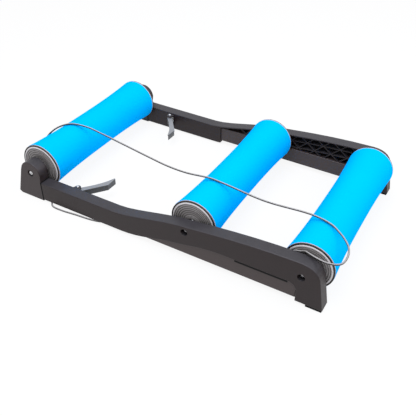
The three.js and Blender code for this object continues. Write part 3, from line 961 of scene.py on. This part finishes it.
def makeCapsAndAxles():
    parts = {
        "cap": (capOutline(), cap, "cap_plastic"),
        "bearing": (bearingOutline(), bearing, "steel"),
        "spacer": (spacerOutline(), spacer, "steel"),
    }
    for name, x in axlePlaces.items():
        fixed = "front_carriage" if name == "front" else "rear_frame"
        for side, sign in sides.items():
            end = (x, sign * drum["length"] / 2, axleHeight)
            for part, (outline, sizes, slotName) in parts.items():
                label = f"{name}{part.capitalize()}{side.capitalize()}"
                piece = turnedPiece(label, outline, sizes, end, sign)
                body = fixed if part == "spacer" else f"{name}_roller"
                finishPiece(piece, slotName, body, [f"{name}_{part}_{side}"])
        piece = turnedPiece(f"{name}Axle", axleOutline(), axle, (x, 0, axleHeight), 1)
        finishPiece(piece, "steel", fixed, [f"{name}_axle"])


makeCapsAndAxles()


print("screws")

axleScrew = {
    "headRadius": 0.005, "headHeight": 0.004, "shankRadius": 0.0028, "length": 0.0153,
    "hexRadius": 0.0029, "hexDepth": 0.0025, "chamfer": 0.0005,
}
bracketScrew = {
    "headRadius": 0.0045, "headHeight": 0.002, "shankRadius": 0.0025, "length": 0.009,
    "hexRadius": 0.0022, "hexDepth": 0.0012, "chamfer": 0.0005,
}
leverScrew = {
    "headRadius": 0.0032, "headHeight": 0.0024, "shankRadius": 0.0023, "length": 0.0328,
    "hexRadius": 0.0017, "hexDepth": 0.0014, "chamfer": 0.0005,
}


def socketScrewMesh(name, sizes):
    # a screw that faces +Z with the top of its head at 0, made of rings of points
    count = 24  # a multiple of 6, for the socket's corners

    def circle(radius, z):
        turns = [2 * math.pi * k / count for k in range(count)]
        return [(radius * math.cos(a), radius * math.sin(a), z) for a in turns]

    def hexagon(radius, z):
        ring = []
        for k in range(count):
            a = 2 * math.pi * k / count
            inSide = (a + math.pi / 6) % (math.pi / 3) - math.pi / 6
            r = radius * math.cos(math.pi / 6) / math.cos(inSide)
            ring.append((r * math.cos(a), r * math.sin(a), z))
        return ring

    c, r, h = sizes["chamfer"], sizes["headRadius"], sizes["headHeight"]
    s, total = sizes["shankRadius"], h + sizes["length"]
    socket, deep = sizes["hexRadius"], sizes["hexDepth"]
    shoulder = c * 0.35  # the point that rounds the head's rim
    rings = [
        circle(s - c, -total), circle(s, -total + c), circle(s, -h), circle(r - c / 2, -h),
        circle(r, -h + c / 2), circle(r, -c), circle(r - shoulder, -shoulder),
        circle(r - c, 0), hexagon(socket + c / 2, 0), hexagon(socket, -c / 2),
        hexagon(socket, -deep),
    ]
    vertices = [p for ring in rings for p in ring]
    faces = []
    for i in range(len(rings) - 1):
        here, there = i * count, (i + 1) * count
        for k in range(count):
            j = (k + 1) % count
            faces.append((here + k, here + j, there + j, there + k))
    faces.append(tuple(range(count))[::-1])
    last = (len(rings) - 1) * count
    tip = len(vertices)
    cone = socket * 0.3  # the drilled floor of the socket
    vertices.append((0, 0, -deep - cone))
    for k in range(count):
        faces.append((last + k, last + (k + 1) % count, tip))
    mesh = bpy.data.meshes.new(name)
    mesh.from_pydata(vertices, [], faces)
    mesh.shade_smooth()
    mesh.set_sharp_from_angle(angle=math.radians(angles["screwSharp"]))
    return mesh


def placedScrewsTree():
    graph, given, identifiers = newTree("placed screws", {
        "Screw": "Object", "Turn": "Float", "Seed": "Int", "Material": "Material",
    })
    screw = graph.add("GeometryNodeObjectInfo", None, {"Object": given["Screw"]}, "Geometry")
    facing = graph.add(
        "GeometryNodeInputNamedAttribute", {"data_type": "FLOAT_VECTOR"}, {"Name": "facing"}
    )
    aim = graph.add("FunctionNodeAlignRotationToVector", {"axis": "Z"}, {"Vector": facing})
    angle = graph.add(
        "FunctionNodeRandomValue", {"data_type": "FLOAT"},
        {2: 0.0, 3: given["Turn"], "Seed": given["Seed"]}, 1,
    )
    twist = graph.add(
        "FunctionNodeAxisAngleToRotation", None, {"Axis": (0.0, 0.0, 1.0), "Angle": angle}
    )
    turned = graph.add(
        "FunctionNodeRotateRotation", {"rotation_space": "LOCAL"},
        {"Rotation": aim, "Rotate By": twist},
    )
    placed = graph.add("GeometryNodeInstanceOnPoints", None, {
        "Points": given["Geometry"], "Instance": screw, "Rotation": turned,
    })
    endTree(graph, placed, given["Material"])
    return graph.tree, identifiers


screwTree, screwSockets = placedScrewsTree()


def makeScrews(label, sizes, seats, body, nodes, seed):
    # a seat is the middle of a head's top and the way that it faces
    master = newPiece(label + "Master", socketScrewMesh(label + "Master", sizes))
    mesh = bpy.data.meshes.new(label)
    mesh.from_pydata([place for place, facing in seats], [], [])
    way = mesh.attributes.new("facing", "FLOAT_VECTOR", "POINT")
    way.data.foreach_set("vector", [v for place, facing in seats for v in facing])
    piece = newPiece(label, mesh)
    useTree(piece, screwTree, screwSockets, {
        "Screw": master, "Turn": math.pi / 3, "Seed": seed, "Material": finishes["steel"],
    })
    settle(piece)
    bpy.data.objects.remove(master)
    finishPiece(piece, "steel", body, nodes)


screwSeats = {
    "axleHeads": {"front": 0.2413, "middle": 0.2353, "rear": 0.2353},  # across, to the head's top
    "bracketHead": (-0.3475, 0.2107, 0.029),
    "leverHead": (-0.2402, 0.205, 0.0532),
    "seeds": {"front": 3, "rear": 8, "bracket": 5, "lever": 6},
}


def makeAllScrews():
    across, seeds = screwSeats["axleHeads"], screwSeats["seeds"]
    groups = {"front": ("front_carriage", ["front"]), "rear": ("rear_frame", ["middle", "rear"])}
    for group, (body, axles) in groups.items():
        seats = [
            ((axlePlaces[name], sign * across[name], axleHeight), (0, sign, 0))
            for name in axles for sign in sides.values()
        ]
        nodes = [f"{name}_axle_screw_{side}" for name in axles for side in sides]
        makeScrews(f"{group}AxleScrews", axleScrew, seats, body, nodes, seeds[group])
    x, y, z = screwSeats["bracketHead"]
    seats = [((x, sign * y, z), (0, -sign, 0)) for sign in sides.values()]
    nodes = [f"bracket_screw_{side}" for side in sides]
    makeScrews("bracketScrews", bracketScrew, seats, "front_carriage", nodes, seeds["bracket"])
    x, y, z = screwSeats["leverHead"]
    seats = [((x, sign * y, z), (0, 0, 1)) for sign in sides.values()]
    nodes = [f"lever_screw_{side}" for side in sides]
    makeScrews("leverScrews", leverScrew, seats, "rear_frame", nodes, seeds["lever"])


makeAllScrews()


print("frame")

rounding = {
    "rail": 0.0022,
    "bracket": 0.0022,
    "arm": 0.0011,
    "lever": 0.0007,
    "pad": 0.0005,
    "shadeStrip": 0.0003,
    "ruledSegments": 3,  # on rails and brackets
    "plainSegments": 2,
}
edgeRules = {
    "outer": 0.243,  # the planes of the outlines, across
    "inner": 0.213,
    "tolerance": 0.00005,
    "short": 0.0024,  # the edges round the recesses are shorter
    "recessShare": 0.16,
    "railFront": -0.322,  # X of the seam's two sides, which are rounded less
    "bracketRear": -0.3248,
    "seamShare": 0.3,
    "upward": 0.3,  # least normal Z of a face at a rounded inner edge
}


def onPlane(edge, plane):
    distance, tolerance = edgeRules[plane], edgeRules["tolerance"]
    return all(abs(abs(vertex.co.y) - distance) < tolerance for vertex in edge.verts)


def shortShare(edge):
    # what a recess's edge gets, or nothing if the edge is a longer one
    if edge.calc_length() < edgeRules["short"]:
        return edgeRules["recessShare"] if onPlane(edge, "outer") else 0
    return None


def railRule(edge):
    # the outline's edges are rounded in full, the mouths of recesses a little
    share = shortShare(edge)
    if share is not None:
        return share
    if onPlane(edge, "outer"):
        atSeam = all(vertex.co.x < edgeRules["railFront"] for vertex in edge.verts)
        return edgeRules["seamShare"] if atSeam else 1
    up = max(face.normal.z for face in edge.link_faces)
    return 1 if onPlane(edge, "inner") and up > edgeRules["upward"] else 0


def bracketRule(edge):
    share = shortShare(edge)
    if share is not None:
        return share
    atSeam = all(vertex.co.x > edgeRules["bracketRear"] for vertex in edge.verts)
    if onPlane(edge, "outer") or onPlane(edge, "inner"):
        return edgeRules["seamShare"] if atSeam else 1
    return 0


def markUpperFaces(piece):
    # how far each face looks up, which the rails' look reads for its painted top light
    mesh = piece.data
    facing = mesh.attributes.new("facingUp", "FLOAT", "FACE")
    facing.data.foreach_set("value", [face.normal.z for face in mesh.polygons])


def dressNode(name, node, size, slotName, body, rule=None):
    # the node's rounded copy; with a rule, only the edges that it weighs are rounded
    piece = cleanCopy(node, name)
    piece.data.shade_smooth()
    sharp = angles["rounded" if rule else "plainSharp"]
    piece.data.set_sharp_from_angle(angle=math.radians(sharp))
    if rule:
        weighEdges(piece, rule)
    segments = rounding["ruledSegments" if rule else "plainSegments"]
    roundEdges(piece, rounding[size], segments, bool(rule))
    settle(piece)
    if rule:
        markUpperFaces(piece)
    finishPiece(piece, slotName, body, [node])


def makeFrame():
    rear, front = "rear_frame", "front_carriage"
    for side in sides:
        rows = [
            ("outerRail*", "outer_rail_*", "rail", "rail_plastic", rear, railRule),
            ("frontBracket*", "front_bracket_*", "bracket", "rail_plastic", front, bracketRule),
            ("slidingArm*", "sliding_arm_*", "arm", "arm_plastic", front),
            ("clampLever*", "clamp_lever_*", "lever", "lever_plastic", f"lever_{side}"),
            ("clampShoe*", "clamp_shoe_*", "pad", "glide_plastic", rear),
            ("frontFootPad*", "front_foot_pad_*", "pad", "foot_rubber", front),
            ("rearFootPad*", "rear_foot_pad_*", "pad", "foot_rubber", rear),
            ("guidePad*1", "guide_pad_*_1", "pad", "glide_plastic", rear),
            ("guidePad*2", "guide_pad_*_2", "pad", "glide_plastic", rear),
        ]
        for name, node, *rest in rows:
            # the star stands for the side
            dressNode(name.replace("*", side.capitalize()), node.replace("*", side), *rest)


makeFrame()


# dark strips and frames that stand in for shade in the seams: painted shade
print("seals and buffers")

shadeStrip = {
    "from": 0.205, "to": 0.3245,  # along
    "back": 0.2408, "face": 0.2425,  # across
    "low": 0.0472, "high": 0.0515,
}


def makeShadeStrips():
    # a dark strip under each rail's lower edge, over the arm: painted shade for the shadow line
    # there
    for side, sign in sides.items():
        label = f"railSeal{side.capitalize()}"
        corners = [
            (x, sign * y, z) for x in (shadeStrip["from"], shadeStrip["to"])
            for y in (shadeStrip["back"], shadeStrip["face"]) for z in (shadeStrip["low"], shadeStrip["high"])
        ]
        shell = bmesh.new()
        bmesh.ops.convex_hull(shell, input=[shell.verts.new(corner) for corner in corners])
        joinFlat(shell)
        bmesh.ops.recalc_face_normals(shell, faces=shell.faces)
        mesh = bpy.data.meshes.new(label)
        shell.to_mesh(mesh)
        shell.free()
        piece = newPiece(label, mesh)
        roundEdges(piece, rounding["shadeStrip"], rounding["plainSegments"])
        settle(piece)
        finishPiece(piece, "foot_rubber", "rear_frame", [])


makeShadeStrips()

seamShadeFrame = {
    "from": -0.3256, "to": -0.3228,  # along
    "outer": ((0.2128, 0.005), (0.2432, 0.0557)),  # across and up, corner to corner
    "inner": ((0.2163, 0.012), (0.2397, 0.0521)),  # round the arm
}


def makeSeamShadeFrames():
    # a dark rubber frame on each bracket's rear face that meets the rail: painted shade for the gap
    # of the seam
    for side, sign in sides.items():
        label = f"bracketBuffer{side.capitalize()}"
        rings = []
        # outer and back, then inner and forward again, so that each ring meets the next
        for ring, start, end in (("outer", "from", "to"), ("inner", "to", "from")):
            (y0, z0), (y1, z1) = seamShadeFrame[ring]
            square = ((y0, z0), (y1, z0), (y1, z1), (y0, z1))
            rings += [[(seamShadeFrame[x], sign * y, z) for y, z in square] for x in (start, end)]
        faces = []
        for i in range(4):
            for k in range(4):
                j, n = (i + 1) % 4, (k + 1) % 4
                faces.append((i * 4 + k, i * 4 + n, j * 4 + n, j * 4 + k))
        mesh = bpy.data.meshes.new(label)
        mesh.from_pydata([corner for ring in rings for corner in ring], [], faces)
        shell = bmesh.new()
        shell.from_mesh(mesh)
        bmesh.ops.recalc_face_normals(shell, faces=shell.faces)
        shell.to_mesh(mesh)
        shell.free()
        piece = newPiece(label, mesh)
        roundEdges(piece, rounding["shadeStrip"], rounding["plainSegments"])
        settle(piece)
        finishPiece(piece, "foot_rubber", "front_carriage", [])


makeSeamShadeFrames()


print("studio")

studio = {
    "floorSize": 30.0,
    "floorColour": (0.8, 0.8, 0.8, 1),
    "floorLift": 0.9,  # share of plain white seen by the camera
    "worldColour": (1.0, 1.0, 1.0, 1),
    "worldStrength": 0.68,
    "lampColour": (0.97, 0.99, 1.07),
    "keyPower": 50.0,
    "keySize": 1.8,
    "keyPlace": (-0.1, -0.6, 2.5),
    "fillPower": 22.0,
    "fillSize": 2.2,
    "fillPlace": (1.6, 0.5, 1.8),
    "aim": (0.0, 0.0, 0.05),  # what both lamps point at
}
plainWhite = {"Color": (1, 1, 1, 1), "Strength": 1.0}


def seenRays(graph):
    # camera, mirror and see-through rays, which show the white surround
    outputs = graph.add("ShaderNodeLightPath").socket.node.outputs
    names = ("Is Camera Ray", "Is Glossy Ray", "Is Transmission Ray")
    camera, glossy, through = (Wire(graph, outputs[name]) for name in names)
    return graph.maths("MINIMUM", camera + glossy + through, 1.0)


def makeFloor():
    half = studio["floorSize"] / 2
    mesh = bpy.data.meshes.new("floor")
    corners = [(-half, -half, 0), (half, -half, 0), (half, half, 0), (-half, half, 0)]
    mesh.from_pydata(corners, [], [(0, 1, 2, 3)])
    floor = newPiece("floor", mesh)
    material = bpy.data.materials.new("floorWhite")
    material.use_nodes = True
    material.node_tree.nodes.clear()
    graph = Graph(material.node_tree)
    matt = graph.add("ShaderNodeBsdfDiffuse", None, {"Color": studio["floorColour"]})
    white = graph.add("ShaderNodeEmission", None, plainWhite)
    share = seenRays(graph) * studio["floorLift"]
    both = graph.add("ShaderNodeMixShader", None, {0: share, 1: matt, 2: white})
    graph.add("ShaderNodeOutputMaterial", None, {"Surface": both})
    mesh.materials.append(material)


def makeWorld():
    world = bpy.data.worlds.new("surround")
    scene.world = world
    world.use_nodes = True
    world.node_tree.nodes.clear()
    graph = Graph(world.node_tree)
    lighting = graph.add("ShaderNodeBackground", None, {
        "Color": studio["worldColour"], "Strength": studio["worldStrength"],
    })
    white = graph.add("ShaderNodeBackground", None, plainWhite)
    both = graph.add("ShaderNodeMixShader", None, {0: seenRays(graph), 1: lighting, 2: white})
    graph.add("ShaderNodeOutputWorld", None, {"Surface": both})


def makeLamp(name, power, size, place):
    lamp = bpy.data.lights.new(name, "AREA")
    lamp.shape = "DISK"
    lamp.energy = power
    lamp.color = studio["lampColour"]
    lamp.size = size
    holder = bpy.data.objects.new(name, lamp)
    scene.collection.objects.link(holder)
    holder.location = place
    holder.rotation_mode = "QUATERNION"
    ray = Vector(studio["aim"]) - Vector(place)
    holder.rotation_quaternion = ray.to_track_quat("-Z", "Y")


makeFloor()
makeWorld()
for lampName in ("key", "fill"):
    values = [studio[lampName + value] for value in ("Power", "Size", "Place")]
    makeLamp(lampName + "Lamp", *values)
scene.view_settings.view_transform = "Standard"
